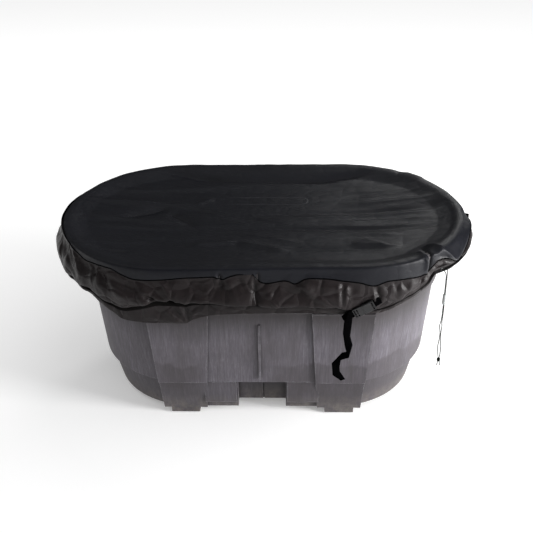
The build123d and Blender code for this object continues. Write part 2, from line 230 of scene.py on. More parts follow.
def stitch_line(n):
    """A long, narrow stitched loop lying across the top, behind its middle and open at its left end."""
    x, y = n.separate(n.coords)[:2]
    beyond = n.math("MAXIMUM", n.math("SUBTRACT", x, STITCHED_TURN_X), 0.0)
    aside = n.math("SUBTRACT", y, STITCHED_Y)
    away = n.math("SQRT", n.math("ADD", n.math("POWER", beyond, 2.0), n.math("POWER", aside, 2.0)))
    from_line = n.math("ABSOLUTE", n.math("SUBTRACT", away, STITCHED_HALF_WIDTH))
    line = n.ramp(from_line, [(0.0008, (1,)), (0.0022, (0,))])
    started = n.ramp(n.math("ADD", x, 0.30), [(0.16, (0,)), (0.24, (1,))])
    near = n.math("LESS_THAN", x, STITCHED_TIP_X)
    return n.math("MULTIPLY", n.math("MULTIPLY", line, started), near)


CLOTH_THREADS = 420.0


def cover_cloth(name, dark, light, roughness, specular, crumple=0.0, stitched=False):
    """Coated woven polyester: fine plain weave, crumples, faint creases, uneven sheen, and painted shade
    deep in its folds and tucks.
    """
    n = Nodes(name)
    broad = n.noise(n.scaled(2.2, 5.0, 3.0), 1.4, 4, 0.6)
    streak = n.noise(n.scaled(6.0, 45.0, 20.0), 1.0, 4, 0.6, 0.6)
    colour = n.mix(n.ramp(broad, [(0.3, (0,)), (0.7, (1,))]), dark, light)
    warp, weft, rise = (n.wave(n.scaled(1, 1, 1), CLOTH_THREADS, axis) for axis in "XYZ")
    weave = n.math("ADD", n.math("MULTIPLY", warp, weft), n.math("MULTIPLY", rise, 0.5))
    first = n.bump(weave, 0.25, 0.0003)
    second = n.bump(streak, 0.35, 0.002, first)
    warped = n.add("ShaderNodeVectorMath", operation="ADD")
    drift = n.add("ShaderNodeTexNoise")
    drift.inputs["Scale"].default_value = 9.0
    n.link(n.coords, drift.inputs["Vector"])
    drift_small = n.add("ShaderNodeVectorMath", operation="SCALE")
    drift_small.inputs["Scale"].default_value = 0.05
    n.link(drift.outputs["Color"], drift_small.inputs[0])
    n.link(n.coords, warped.inputs[0])
    n.link(drift_small.outputs[0], warped.inputs[1])
    creases = n.add("ShaderNodeTexVoronoi", feature="DISTANCE_TO_EDGE")
    creases.inputs["Scale"].default_value = 17.0
    n.link(warped.outputs[0], creases.inputs["Vector"])
    sharp = n.ramp(creases.outputs["Distance"], [(0.0, (0,)), (0.16, (0.7,)), (0.45, (1,))])
    third = n.bump(sharp, crumple, 0.006, second)
    # painted shade: the colour goes near black where ambient occlusion finds the cloth folded in close
    occlusion = n.add("ShaderNodeAmbientOcclusion", samples=6)
    occlusion.inputs["Distance"].default_value = 0.035
    painted_fold_shade = n.ramp(occlusion.outputs["AO"], [(0.40, (0.95,)), (0.90, (0,))])
    colour = n.mix(painted_fold_shade, colour, (0.0015, 0.0013, 0.0013))
    if stitched:
        loop = stitch_line(n)
        colour = n.mix(n.math("MULTIPLY", loop, 0.5), colour, (0.035, 0.036, 0.042))
        third = n.bump(loop, 0.8, 0.0012, third)
    rough_value = n.math("ADD", n.math("MULTIPLY", streak, 0.18), roughness - 0.09)
    n.shader.inputs["Specular IOR Level"].default_value = specular
    return n.set(Base_Color=colour, Roughness=rough_value, Normal=third)


def tank_plastic():
    """Grey structural foam: vertical scuffs, pale worn edges and dust low down, with painted shade where
    walls meet and painted shade mixed with grime under the cover.
    """
    n = Nodes("tank_plastic")
    height = n.separate(n.coords)[2]
    coarse = n.noise(n.scaled(46.0, 46.0, 4.5), 1.0, 4, 0.6, 0.3)
    streaks = n.noise(n.scaled(190.0, 190.0, 13.0), 1.0, 4, 0.65, 0.25)
    hairs = n.noise(n.scaled(420.0, 420.0, 34.0), 1.0, 3, 0.7, 0.3)
    clouds = n.noise(n.coords, 5.5, 5, 0.6, 0.4)
    grain = n.noise(n.coords, 320.0, 3, 0.6)
    base = n.ramp(streaks, [(0.28, (0.074, 0.067, 0.080)), (0.5, (0.107, 0.098, 0.115)),
                            (0.74, (0.153, 0.143, 0.166))])
    base = n.mix(n.ramp(coarse, [(0.35, (0.5,)), (0.62, (0,))]), base, (0.066, 0.059, 0.064))
    base = n.mix(n.ramp(hairs, [(0.52, (0,)), (0.72, (0.35,))]), base, (0.25, 0.236, 0.262))
    base = n.mix(n.ramp(clouds, [(0.36, (0,)), (0.68, (0.5,))]), base, (0.056, 0.050, 0.054))
    # painted shade under the overhanging cover, mixed with grime: darker high on the wall, from under the
    # hem down
    under = n.ramp(height, [(0.31, (0,)), (0.36, (0.34,)), (0.42, (0.84,))])
    base = n.mix(under, base, (0.024, 0.021, 0.021))
    # darker again below the step
    base = n.mix(n.ramp(height, [(0.140, (0.42,)), (0.152, (0,))]), base, (0.040, 0.036, 0.039))
    # a wavy grime line and dark stain on the lower half, dust at the foot
    wavy = n.math("ADD", height, n.math("MULTIPLY", n.noise(n.scaled(9, 9, 2), 1.0, 4, 0.6), 0.10))
    stain = n.ramp(wavy, [(0.02, (0.0,)), (0.10, (0.45,)), (0.275, (0.5,)), (0.285, (0,))])
    patch = n.ramp(n.noise(n.coords, 2.6, 3, 0.5), [(0.50, (0,)), (0.58, (1,))])
    base = n.mix(n.math("MULTIPLY", stain, patch), base, (0.045, 0.039, 0.042))
    dust = n.math("MULTIPLY", n.ramp(height, [(0.02, (0.45,)), (0.09, (0,))]),
                  n.ramp(n.noise(n.coords, 30.0, 5, 0.7), [(0.38, (0.15,)), (0.62, (1,))]))
    base = n.mix(dust, base, (0.200, 0.178, 0.150))
    # edges: pale wear where they stick out, and painted shade where walls meet
    rounded = n.add("ShaderNodeBevel", samples=4)
    rounded.inputs["Radius"].default_value = 0.006
    flat = n.add("ShaderNodeNewGeometry").outputs["Normal"]
    closeness = n.add("ShaderNodeVectorMath", operation="DOT_PRODUCT")
    n.link(rounded.outputs["Normal"], closeness.inputs[0])
    n.link(flat, closeness.inputs[1])
    edge = n.ramp(closeness.outputs["Value"], [(0.80, (1,)), (0.985, (0,))])
    occlusion = n.add("ShaderNodeAmbientOcclusion", samples=6, only_local=True)
    occlusion.inputs["Distance"].default_value = 0.03
    painted_corner_shade = n.ramp(occlusion.outputs["AO"], [(0.55, (1,)), (0.80, (0,))])
    worn = n.math("MULTIPLY", edge, n.math("SUBTRACT", 1.0, painted_corner_shade, True))
    chips = n.ramp(n.noise(n.coords, 28.0, 5, 0.7), [(0.42, (0.1,)), (0.60, (1,))])
    base = n.mix(n.math("MULTIPLY", n.math("MULTIPLY", worn, chips), 0.50), base, (0.36, 0.35, 0.375))
    # painted shade where walls meet, found by ambient occlusion
    base = n.mix(n.math("MULTIPLY", painted_corner_shade, 0.7), base, (0.024, 0.021, 0.022))
    relief = n.math("ADD", n.math("MULTIPLY", streaks, 0.5), n.math("MULTIPLY", grain, 0.35))
    n.shader.inputs["Specular IOR Level"].default_value = 0.25
    return n.set(Base_Color=base, Roughness=n.math("ADD", n.math("MULTIPLY", hairs, 0.22), 0.46),
                 Normal=n.bump(relief, 0.4, 0.0015))


def webbing_cloth(name, colour, ribs=(900.0, 900.0)):
    """Narrow woven webbing with cross ribs."""
    n = Nodes(name)
    across = n.wave(n.coords, ribs[0], "Z", 1.5, 1.0)
    along = n.wave(n.coords, ribs[1], "X", 1.0, 1.0)
    weave = n.math("ADD", across, n.math("MULTIPLY", along, 0.6))
    base = n.mix(n.math("MULTIPLY", weave, 0.4), colour, tuple(min(1.0, c * 2.2) for c in colour))
    n.shader.inputs["Specular IOR Level"].default_value = 0.0
    return n.set(Base_Color=base, Roughness=0.8, Normal=n.bump(weave, 0.5, 0.0005))


def moulded(name, colour, roughness, grain=500.0, specular=0.5):
    """Moulded plastic with a fine grain."""
    n = Nodes(name)
    speckle = n.noise(n.coords, grain, 3, 0.6)
    base = n.mix(n.math("MULTIPLY", speckle, 0.5), colour, tuple(c * 1.5 for c in colour))
    n.shader.inputs["Specular IOR Level"].default_value = specular
    return n.set(Base_Color=base, Roughness=n.math("ADD", n.math("MULTIPLY", speckle, 0.15), roughness),
                 Normal=n.bump(speckle, 0.2, 0.0003))


def metal(name, colour, roughness):
    """Bare metal with fine scratches."""
    n = Nodes(name)
    scratch = n.noise(n.scaled(400, 400, 2500), 1.0, 3, 0.6)
    n.shader.inputs["Metallic"].default_value = 1.0
    return n.set(Base_Color=n.mix(scratch, colour, tuple(c * 0.6 for c in colour)),
                 Roughness=n.math("ADD", n.math("MULTIPLY", scratch, 0.2), roughness))


def paint(obj, material):
    """Gives the object this one material."""
    obj.data.materials.clear()
    obj.data.materials.append(material)


TOP_CLOTH = cover_cloth("cover_cloth", (0.0022, 0.0025, 0.0048), (0.0042, 0.0046, 0.0076), 0.44, 0.17,
                        crumple=0.10, stitched=True)
# the skirt is the same fabric as the top: its warmer, browner colour is painted light, the tint its hanging
# sides take from the light around them
SKIRT_CLOTH = cover_cloth("skirt_cloth", (0.0074, 0.0054, 0.0057), (0.0140, 0.0104, 0.0108), 0.40, 0.15,
                          crumple=0.60)
# a darker copy of the skirt's cloth: a painted shadow for the tuck under the skirt's overhanging fold
PAINTED_UNDERCUT_SHADOW = cover_cloth("painted_undercut_shadow", (0.0022, 0.0019, 0.0018), (0.0040, 0.0034, 0.0032), 0.55, 0.03)
TANK_PLASTIC = tank_plastic()
WEBBING = webbing_cloth("webbing", (0.0010, 0.0010, 0.0011))
CORD_BRAID = webbing_cloth("cord_braid", (0.006, 0.007, 0.006), (1500.0, 1500.0))
BUCKLE_PLASTIC = moulded("buckle_plastic", (0.007, 0.007, 0.0075), 0.30, 300.0, 0.30)
LOCK_PLASTIC = moulded("lock_plastic", (0.30, 0.31, 0.31), 0.35)
PLUG_PLASTIC = moulded("plug_plastic", (0.02, 0.02, 0.02), 0.45)
RUBBER = moulded("gasket_rubber", (0.012, 0.012, 0.012), 0.7)
STEEL = metal("spring_steel", (0.5, 0.5, 0.5), 0.25)
EYELET = metal("eyelet_metal", (0.10, 0.10, 0.10), 0.35)

CAD_FINISH = {
    "tank_shell": TANK_PLASTIC, "drain_plug": PLUG_PLASTIC, "drain_gasket": RUBBER, "cord_eyelets": EYELET,
    "drawcord_ring": CORD_BRAID, "cord_lock_body": LOCK_PLASTIC, "cord_lock_plunger": LOCK_PLASTIC,
    "cord_lock_spring": STEEL, "cord_end_knot": CORD_BRAID, "buckle_socket": BUCKLE_PLASTIC,
    "buckle_plug": BUCKLE_PLASTIC, "buckle_arm_upper": BUCKLE_PLASTIC, "buckle_arm_lower": BUCKLE_PLASTIC,
    "strap_anchor_left": WEBBING, "strap_anchor_right": WEBBING, "strap_tail": WEBBING,
    "end_pull_loop": WEBBING, "cover_top_panel": TOP_CLOTH, "cover_skirt": SKIRT_CLOTH,
    "seam_binding": SKIRT_CLOTH, "hem_casing": SKIRT_CLOTH,
}
for node_name, finish in CAD_FINISH.items():
    paint(nodes[node_name], finish)

# ---------------------------------------------------------------- hanging drawcord
# routes in millimetres, from the eyelets down to the knot
LEFT_ROUTE = [(561.22, -284.23, 571), (566.86, -289.91, 571), (572.8, -291.2, 566.5), (578.3, -287.3, 556.5),
              (581.64, -280.92, 541), (582.09, -280.82, 525), (585.6, -280.0, 400), (584.4, -279.4, 370),
              (581.0, -279.0, 351), (586.4, -278.6, 332), (587.2, -278.2, 300), (583.6, -277.8, 262),
              (592.1, -277.4, 221)]
RIGHT_ROUTE = [(573.4, -272.2, 571), (579.3, -277.6, 571), (583.2, -281.2, 565.5), (584.1, -281.0, 553),
               (584.89, -280.82, 525), (588.4, -280.0, 400), (587.2, -279.4, 370), (590.2, -279.0, 352),
               (589.2, -278.6, 333), (590.0, -278.2, 300), (597.4, -277.8, 258), (594.9, -277.4, 221)]


def cord_curve(name, route):
    """A round cord whose route is the control points of one smooth line."""
    curve = bpy.data.curves.new(name, "CURVE")
    curve.dimensions = "3D"
    spline = curve.splines.new("NURBS")
    spline.points.add(len(route) - 1)
    for point, (x, y, z) in zip(spline.points, route):
        point.co = (x / 1000, y / 1000, z / 1000, 1)
    spline.order_u = 3
    spline.use_endpoint_u = True
    spline.resolution_u = 12
    curve.bevel_depth = CORD_DIAMETER / 2
    curve.bevel_resolution = 4
    curve.use_fill_caps = True
    obj = bpy.data.objects.new(name, curve)
    bpy.context.scene.collection.objects.link(obj)
    paint(obj, CORD_BRAID)
    return obj


# the spring as a copy with its own mesh, carried with the cord lock; the real spring gets shorter as the
# plunger is pressed and is held at its lower end
lock_spring = bpy.data.objects.new("lock_spring_coil", nodes["cord_lock_spring"].data.copy())
bpy.context.scene.collection.objects.link(lock_spring)
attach(lock_spring, "cord_lock")
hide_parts("cord_lock_spring")
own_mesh(lock_spring)
for side, route, length in (("left", LEFT_ROUTE, 0.365), ("right", RIGHT_ROUTE, 0.361)):
    strand = cord_curve(f"drawcord_{side}", route)
    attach(strand, "cover")
    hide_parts(f"drawcord_strand_{side}")

# ---------------------------------------------------------------- the fabric cover
# Heights and offsets follow the place along the rim, in metres from the middle of the front towards +X;
# the right end is at 0.898 and the left end at -0.898.
COLUMNS = 800
# the seam between top and skirt: its height, and how far outside the rim it lies
SEAM_LINE = [(-1.795, 0.602), (-1.45, 0.604), (-1.15, 0.622), (-0.95, 0.636), (-0.72, 0.634),
             (-0.60, 0.624), (-0.55, 0.614), (-0.50, 0.618), (-0.45, 0.620), (-0.41, 0.606),
             (-0.37, 0.596), (-0.30, 0.600), (-0.21, 0.608), (-0.13, 0.611), (-0.112, 0.600),
             (-0.085, 0.611), (-0.05, 0.618), (-0.014, 0.617), (0.000, 0.597), (0.09, 0.595),
             (0.108, 0.586), (0.14, 0.602), (0.19, 0.604), (0.247, 0.597), (0.30, 0.590), (0.345, 0.577),
             (0.39, 0.588), (0.45, 0.586), (0.50, 0.582), (0.528, 0.584), (0.545, 0.600), (0.563, 0.613),
             (0.596, 0.610), (0.622, 0.597), (0.650, 0.600), (0.73, 0.620), (0.79, 0.632), (0.90, 0.620),
             (1.05, 0.606), (1.35, 0.602), (1.795, 0.602)]
SEAM_OFFSET = [(-1.4, 0.005), (-1.15, 0.001), (-0.95, -0.006), (-0.76, -0.005), (-0.64, 0.000),
               (-0.52, 0.003), (-0.40, 0.006), (-0.20, 0.006), (0.40, 0.007), (0.515, 0.013),
               (0.533, 0.006), (0.563, 0.012), (0.596, 0.025), (0.622, 0.038), (0.655, 0.034),
               (0.73, 0.027), (0.80, 0.023), (0.90, 0.010), (1.1, 0.006), (1.3, 0.005)]
# the crest where the top turns down over the rim
RIDGE_LINE = [(-1.3, 0.625), (-0.95, 0.6375), (-0.72, 0.637), (-0.55, 0.630), (-0.37, 0.621),
              (0.50, 0.620), (0.535, 0.628), (0.560, 0.634), (0.586, 0.637), (0.600, 0.625),
              (0.622, 0.602), (0.650, 0.606), (0.73, 0.627), (0.80, 0.636), (0.92, 0.628), (1.2, 0.624)]
RIDGE_OFFSET = [(-1.3, 0.005), (-0.95, -0.010), (-0.72, -0.008), (-0.55, 0.002), (-0.37, 0.007),
                (0.50, 0.009), (0.515, 0.011), (0.533, 0.004), (0.560, 0.008), (0.586, 0.012),
                (0.600, 0.023), (0.622, 0.037), (0.655, 0.033), (0.73, 0.023), (0.80, 0.017),
                (0.90, 0.006), (1.2, 0.005)]
# the hem's lower edge, and how high the smooth band above it is
HEM = [(-1.795, 0.488), (-1.2, 0.496), (-0.9, 0.506), (-0.70, 0.514), (-0.60, 0.510), (-0.53, 0.500),
       (-0.46, 0.466), (-0.43, 0.448), (-0.37, 0.444), (-0.30, 0.446), (-0.225, 0.444), (-0.205, 0.456),
       (-0.15, 0.472), (-0.09, 0.477), (0.0, 0.479), (0.13, 0.481), (0.25, 0.479), (0.36, 0.476),
       (0.45, 0.500), (0.50, 0.517), (0.535, 0.534), (0.56, 0.562), (0.62, 0.560), (0.68, 0.562),
       (0.80, 0.566), (0.95, 0.562), (1.1, 0.535), (1.3, 0.505), (1.5, 0.490), (1.795, 0.488)]
HEM_OFFSET = [(-1.6, 0.003), (-1.2, 0.006), (-0.9, 0.012), (-0.60, 0.015), (-0.45, 0.012), (-0.30, 0.007),
              (-0.20, 0.004), (0.50, 0.004), (0.54, 0.005), (0.58, 0.010), (0.64, 0.018), (0.72, 0.025),
              (0.80, 0.024), (0.92, 0.010), (1.1, 0.005)]
BAND_HEIGHT = [(-1.795, 0.024), (-0.9, 0.022), (-0.5, 0.024), (-0.38, 0.060), (-0.30, 0.086),
               (-0.25, 0.086), (-0.17, 0.062), (-0.09, 0.046), (0.0, 0.040), (0.13, 0.035), (0.23, 0.030),
               (0.28, 0.022), (0.5, 0.017), (0.56, 0.010), (0.75, 0.012), (1.2, 0.020), (1.795, 0.024)]
# how far the skirt puffs out half way down, and how far its lower edge hangs over the hem band
SKIRT_PUFF = [(-1.795, 0.006), (-1.3, 0.010), (-1.0, 0.017), (-0.75, 0.019), (-0.60, 0.014),
              (-0.45, 0.013), (-0.30, 0.011), (-0.1, 0.009), (0.2, 0.009), (0.36, 0.007), (0.52, 0.006),
              (0.56, 0.000), (0.63, 0.000), (0.70, 0.009), (0.80, 0.009), (0.9, 0.004), (1.2, 0.006),
              (1.795, 0.006)]
OVERHANG = [(-1.795, 0.002), (-0.45, 0.002), (-0.35, 0.008), (-0.26, 0.015), (-0.15, 0.018), (0.0, 0.019),
            (0.15, 0.018), (0.22, 0.014), (0.27, 0.007), (0.31, 0.003), (0.5, 0.001), (0.56, -0.004),
            (0.64, -0.004), (0.70, 0.0), (1.795, 0.002)]
# folds drawn on the skirt: from (along, height) to (along, height), half width, and how far it stands out
SKIRT_FOLDS = [
    ((-0.634, 0.628), (-0.560, 0.566), 0.009, 0.007), ((-0.655, 0.600), (-0.590, 0.540), 0.008, -0.006),
    ((-0.496, 0.618), (-0.492, 0.560), 0.006, 0.007), ((-0.492, 0.560), (-0.458, 0.530), 0.007, 0.007),
    ((-0.512, 0.610), (-0.510, 0.560), 0.007, -0.006), ((-0.480, 0.590), (-0.440, 0.550), 0.007, -0.006),
    ((-0.455, 0.556), (-0.330, 0.520), 0.016, 0.009), ((-0.460, 0.590), (-0.350, 0.556), 0.008, -0.004),
    ((-0.345, 0.548), (-0.310, 0.534), 0.006, -0.013), ((-0.272, 0.534), (-0.255, 0.526), 0.006, -0.013),
    ((-0.345, 0.590), (-0.272, 0.536), 0.009, -0.004), ((-0.290, 0.600), (-0.262, 0.540), 0.008, 0.004),
    ((-0.290, 0.498), (-0.228, 0.452), 0.006, 0.006), ((-0.268, 0.506), (-0.224, 0.455), 0.005, -0.007),
    ((-0.250, 0.510), (-0.220, 0.455), 0.005, 0.005), ((-0.330, 0.470), (-0.230, 0.450), 0.006, 0.005),
    ((-0.225, 0.500), (-0.216, 0.456), 0.005, -0.007), ((-0.190, 0.492), (-0.214, 0.460), 0.005, 0.005),
    ((-0.117, 0.622), (-0.108, 0.572), 0.0045, -0.010), ((-0.128, 0.622), (-0.114, 0.575), 0.006, 0.002),
    ((-0.105, 0.598), (-0.140, 0.545), 0.010, -0.005), ((-0.090, 0.600), (-0.060, 0.530), 0.010, 0.004),
    ((-0.060, 0.606), (-0.035, 0.560), 0.009, -0.004), ((-0.012, 0.612), (-0.002, 0.515), 0.006, -0.011),
    ((-0.003, 0.624), (-0.001, 0.590), 0.004, -0.008), ((0.030, 0.560), (0.060, 0.510), 0.020, 0.006),
    ((0.118, 0.600), (0.160, 0.560), 0.010, 0.004), ((0.238, 0.592), (0.241, 0.513), 0.007, 0.004),
    ((0.250, 0.592), (0.252, 0.512), 0.006, -0.006), ((0.262, 0.590), (0.266, 0.512), 0.007, 0.003),
    ((0.338, 0.582), (0.352, 0.506), 0.006, 0.005), ((0.350, 0.578), (0.366, 0.520), 0.007, -0.006),
    ((0.533, 0.646), (0.526, 0.578), 0.0045, -0.016), ((0.515, 0.642), (0.512, 0.588), 0.008, 0.006),
    ((0.560, 0.626), (0.600, 0.612), 0.008, -0.005), ((0.405, 0.586), (0.420, 0.530), 0.008, -0.004),
    ((0.395, 0.588), (0.408, 0.540), 0.007, 0.003), ((0.470, 0.580), (0.440, 0.530), 0.010, 0.004),
    ((0.510, 0.580), (0.480, 0.545), 0.008, -0.004),
]
# the lower edge of the layer of skirt that droops over at the front, right of the middle
DROOP_EDGE = [(0.000, 0.594), (0.090, 0.594), (0.108, 0.580), (0.184, 0.532), (0.245, 0.507), (0.27, 0.500)]
# folds on the top: ends as (x, y), half width, height
TOP_FOLDS = [
    ((-0.50, 0.372), (-0.15, 0.302), 0.009, -0.007), ((-0.26, 0.308), (0.26, 0.290), 0.009, -0.007),
    ((0.14, 0.286), (0.53, 0.362), 0.009, -0.007), ((-0.56, 0.20), (0.00, 0.255), 0.014, 0.004),
    ((-0.66, 0.112), (-0.35, 0.123), 0.010, 0.005), ((-0.48, 0.014), (-0.335, 0.100), 0.014, -0.006),
    ((-0.335, 0.066), (-0.226, -0.040), 0.012, -0.005), ((-0.25, -0.050), (0.44, -0.076), 0.012, -0.005),
    ((-0.22, -0.195), (-0.073, -0.170), 0.009, 0.005), ((-0.073, -0.172), (0.094, -0.240), 0.010, 0.005),
    ((-0.60, -0.244), (-0.40, -0.244), 0.009, -0.005), ((0.29, -0.185), (0.45, -0.215), 0.014, 0.005),
    ((-0.62, 0.02), (-0.30, -0.02), 0.011, 0.0035),
    ((-0.30, 0.10), (0.05, -0.02), 0.012, -0.0035), ((-0.34, 0.13), (-0.10, 0.04), 0.010, 0.003),
    ((-0.56, 0.13), (-0.24, 0.11), 0.009, 0.003), ((-0.24, 0.11), (-0.18, 0.16), 0.009, 0.003),
    ((-0.60, -0.05), (-0.25, -0.07), 0.010, 0.0025), ((-0.52, -0.13), (0.05, -0.16), 0.012, 0.003),
    ((-0.05, -0.11), (0.12, -0.17), 0.010, 0.003), ((-0.60, -0.19), (-0.36, -0.18), 0.014, 0.004),
    ((-0.05, 0.04), (0.62, 0.07), 0.016, -0.004), ((0.10, 0.02), (0.62, 0.035), 0.010, 0.0035),
    ((0.22, -0.02), (0.60, -0.01), 0.009, 0.003), ((0.25, -0.05), (0.52, -0.06), 0.009, 0.0025),
    ((0.30, 0.12), (0.63, 0.13), 0.010, 0.0035), ((0.34, 0.16), (0.60, 0.20), 0.010, 0.003),
    ((0.20, -0.10), (0.45, -0.12), 0.009, 0.0025), ((0.33, -0.16), (0.40, -0.21), 0.010, 0.003),
    ((0.05, -0.20), (0.40, -0.23), 0.012, -0.003),
]

# the pinched wing at the right front: one ridge out to its tip, and a slit on its left
WING_FOLDS = [((0.508, -0.245), (0.566, -0.290), 0.013, 0.013),
              ((0.500, -0.262), (0.519, -0.332), 0.007, -0.007),
              ((0.490, -0.285), (0.500, -0.350), 0.016, 0.005)]
# a hump and a crease at the right rear
REAR_BUMP = [((0.53, 0.325), (0.60, 0.262), 0.028, 0.009), ((0.492, 0.29), (0.515, 0.35), 0.010, -0.002)]

# the top inside the rim: rings of mesh, the mouth's offset and height, and the sag in the middle
RINGS = 64
MOUTH_OFFSET = -0.082
MOUTH_HEIGHT = 0.6235
SAG = 0.026
# the drawn folds are this much wider and deeper than their table says
FOLD_WIDER = 1.5
FOLD_DEEPER = 1.7
# folds of the skirt that start above this height run over the rim onto the top
OVER_RIM_HEIGHT = 0.61
# rows of the skirt in the tuck under its overhanging fold, above the hem casing, which get the painted
# shadow
PAINTED_SHADOW_ROWS = (21, 31)
# the skirt's cloth stays this far off the rim
RIM_CLEARANCE = 0.0010


def fold_height(points, folds):
    """Sum of the folds' heights at flat points; each fold fades towards its ends."""
    total = np.zeros(len(points))
    for start, end, half_width, height in folds:
        start, end = np.array(start), np.array(end)
        run = end - start
        share = np.clip(((points - start) @ run) / (run @ run), 0, 1)
        away = np.linalg.norm(points - start - share[:, None] * run, axis=1)
        fade = smoothstep(-0.12, 0.25, share) * smoothstep(-0.12, 0.25, 1 - share)
        total += height * fade * np.exp(-((away / half_width) ** 1.4))
    return total


def spline_rows(controls, counts, creases=()):
    """Rows between control rows, on a smooth curve through them; counts gives the steps of each span.

    creases lists (row, sharpness per column): a sharpness of 1 takes all the rounding out of that row."""
    controls = np.array(controls)
    slopes = np.gradient(controls, axis=0)
    for row, sharpness in creases:
        slopes[row] *= 1 - sharpness
    rows = [controls[0]]
    for k, steps in enumerate(counts):
        for step in range(1, steps + 1):
            t = step / steps
            rows.append(
                (2 * t**3 - 3 * t**2 + 1) * controls[k] + (t**3 - 2 * t**2 + t) * slopes[k] * 0.85
                + (3 * t**2 - 2 * t**3) * controls[k + 1] + (t**3 - t**2) * slopes[k + 1] * 0.85
            )
    return np.array(rows)


def surface_normals(points, faces):
    mesh = bpy.data.meshes.new("normals")
    mesh.from_pydata([tuple(p) for p in points.reshape(-1, 3)], [], faces)
    mesh.update()
    normals = np.zeros(len(mesh.vertices) * 3)
    mesh.vertices.foreach_get("normal", normals)
    bpy.data.meshes.remove(mesh)
    return normals.reshape(-1, 3)


def band_faces(rows, columns, flip=False):
    """Quads of a closed band of rows by columns."""
    faces = []
    for r in range(rows - 1):
        for c in range(columns):
            d = (c + 1) % columns
            quad = (r * columns + c, r * columns + d, (r + 1) * columns + d, (r + 1) * columns + c)
            faces.append(quad[::-1] if flip else quad)
    return faces


ALONG = (np.arange(COLUMNS) + 0.5) * PERIMETER / COLUMNS - PERIMETER / 2
seam_z, seam_out = through(SEAM_LINE, ALONG), through(SEAM_OFFSET, ALONG)
ridge_z, ridge_out = through(RIDGE_LINE, ALONG), through(RIDGE_OFFSET, ALONG)
hem_z, hem_out = through(HEM, ALONG), through(HEM_OFFSET, ALONG)
band_z = hem_z + through(BAND_HEIGHT, ALONG)
right_swell = 0.006 * bump(ALONG, 0.80, 0.20)


def top_rows():
    """Offsets and heights of the top panel's rows, from the mouth over the rim to the seam."""
    one = np.ones(COLUMNS)
    rows = [
        (MOUTH_OFFSET * one, MOUTH_HEIGHT * one), (-0.060 * one, 0.6275 * one), (-0.040 * one, 0.6325 * one),
        (-0.024 * one, 0.6370 * one + 0.7 * right_swell), (-0.010 * one, 0.6385 * one + right_swell),
        (np.minimum(0.0035, ridge_out - 0.002), np.maximum(0.6362, ridge_z + 0.002) + right_swell * 0.5),
        (ridge_out, ridge_z), (seam_out, seam_z),
    ]
    crisp = bump(ALONG, 0.600, 0.070)
    creases = [(5, 0.6 * crisp), (6, crisp)]
    return spline_rows([np.stack(row) for row in rows], [3, 3, 3, 3, 3, 4, 5], creases)


def cover_top():
    """The top panel: a sagging sheet inside the rim that rolls over it, with its last row as the seam."""
    rolled = [rim_point(ALONG, out, z) for out, z in top_rows()]
    inner = []
    for ring in range(RINGS, 0, -1):
        offset = MOUTH_OFFSET - (RIM_RADIUS + MOUTH_OFFSET) * (ring / RINGS)
        inner.append(rim_point(ALONG, offset * np.ones(COLUMNS), MOUTH_HEIGHT * np.ones(COLUMNS)))
    grid = np.array(inner + rolled)
    flat = grid[..., :2].reshape(-1, 2)
    # the sag is deepest in the middle and runs up to the rim as a tight, shallow slope
    past_straight = flat[:, 0] - np.clip(flat[:, 0], -HALF_STRAIGHT, HALF_STRAIGHT)
    reach = np.hypot(past_straight, flat[:, 1]) / (RIM_RADIUS - 0.03)
    sag = -SAG * (1 - np.clip(reach, 0, 1) ** 2)
    inside = smoothstep(1.06, 0.86, reach)
    spots = np.column_stack([flat, np.zeros(len(flat))])
    ends = 0.35 + 0.65 * smoothstep(0.12, 0.42, np.abs(flat[:, 0] + 0.03))
    waves = rough(spots, (0.34, 0.050, 1), (3.1, 0.4, 0)) * 0.0022 * ends
    waves += rough(spots, (0.16, 0.022, 1), (7.7, 5.0, 0)) * 0.0010 * ends
    waves += rough(spots, (0.5, 0.22, 1), (1.3, 9.0, 0)) * 0.004
    drawn = [(start, end, FOLD_WIDER * wide, FOLD_DEEPER * high) for start, end, wide, high in TOP_FOLDS]
    heights = (sag + 1.5 * waves + fold_height(flat, drawn)) * inside
    heights += fold_height(flat, REAR_BUMP + WING_FOLDS)
    points = grid.reshape(-1, 3).copy()
    faces = band_faces(len(grid), COLUMNS, flip=True)
    normals = surface_normals(points, faces)
    along = np.tile(ALONG, len(grid))
    on_rim = np.column_stack([along, points[:, 2], 0 * along])
    edge_waves = rough(on_rim, (0.05, 0.10, 1), (2, 2, 2)) * 0.0014 + 0.0012
    edge_waves += fold_height(on_rim[:, :2], [fold for fold in SKIRT_FOLDS if fold[0][1] > OVER_RIM_HEIGHT])
    over_rim = smoothstep(0.94, 1.03, reach)
    points[:, 2] += heights
    points += normals * (edge_waves * over_rim)[:, None]
    grid = points.reshape(len(grid), COLUMNS, 3)
    mesh_obj = new_mesh("cover_top", points, faces)
    bm = bmesh.new()
    bm.from_mesh(mesh_obj.data)
    bmesh.ops.remove_doubles(bm, verts=bm.verts, dist=0.0008)
    bmesh.ops.dissolve_degenerate(bm, dist=0.0002, edges=bm.edges)
    bm.normal_update()
    bm.to_mesh(mesh_obj.data)
    bm.free()
    mesh_obj.data.polygons.foreach_set("use_smooth", [True] * len(mesh_obj.data.polygons))
    return mesh_obj, grid[-1]


